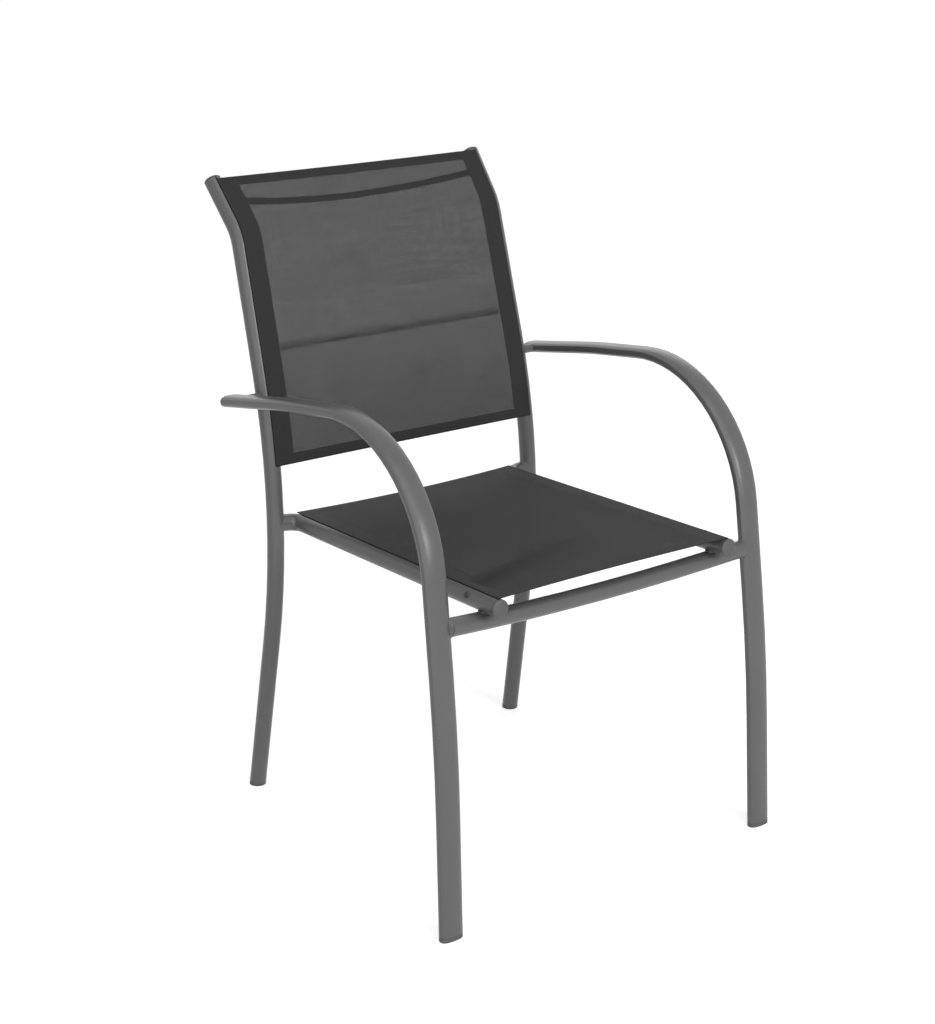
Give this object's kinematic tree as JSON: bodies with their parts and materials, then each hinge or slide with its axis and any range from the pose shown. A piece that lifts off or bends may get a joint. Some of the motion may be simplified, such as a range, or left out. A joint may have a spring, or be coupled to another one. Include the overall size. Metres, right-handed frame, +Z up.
{
  "type": "patio chair",
  "caption": "Stacking patio chair of bent welded tubes, with a mesh sling stretched for the seat and another for the back, and curved arms that run down into the front legs.",
  "frame": {"origin": "on the floor, in the middle of the chair seen from above", "axes": "+Z up, -Y is the way the sitter faces, +X is the chair's right side as seen from the front"},
  "size_m": [0.587, 0.6591, 0.9099],
  "materials": {
    "frame_paint": "satin grey powder coat",
    "cap_plastic": "moulded grey plastic",
    "sling_mesh": "coated mesh, plain weave, charcoal",
    "keder_plastic": "extruded rod",
    "rivet_metal": "dark head"
  },
  "bodies": {
    "root": {"left_front_leg_arm": "frame_paint", "right_front_leg_arm": "frame_paint", "left_upright": "frame_paint", "right_upright": "frame_paint", "left_seat_rail": "frame_paint", "right_seat_rail": "frame_paint", "front_crossbar": "frame_paint", "rear_crossbar": "frame_paint", "top_crossbar": "frame_paint", "left_arm_spacer": "frame_paint", "right_arm_spacer": "frame_paint", "left_top_cap": "cap_plastic", "right_top_cap": "cap_plastic", "left_arm_cap": "cap_plastic", "right_arm_cap": "cap_plastic", "left_rail_plug": "cap_plastic", "right_rail_plug": "cap_plastic", "left_front_foot": "cap_plastic", "right_front_foot": "cap_plastic", "left_rear_foot": "cap_plastic", "right_rear_foot": "cap_plastic", "back_sling": "sling_mesh", "seat_sling": "sling_mesh", "left_back_keder": "keder_plastic", "right_back_keder": "keder_plastic", "left_seat_keder": "keder_plastic", "right_seat_keder": "keder_plastic", "left_rail_rivet": "rivet_metal", "right_rail_rivet": "rivet_metal"}
  },
  "joints": []
}
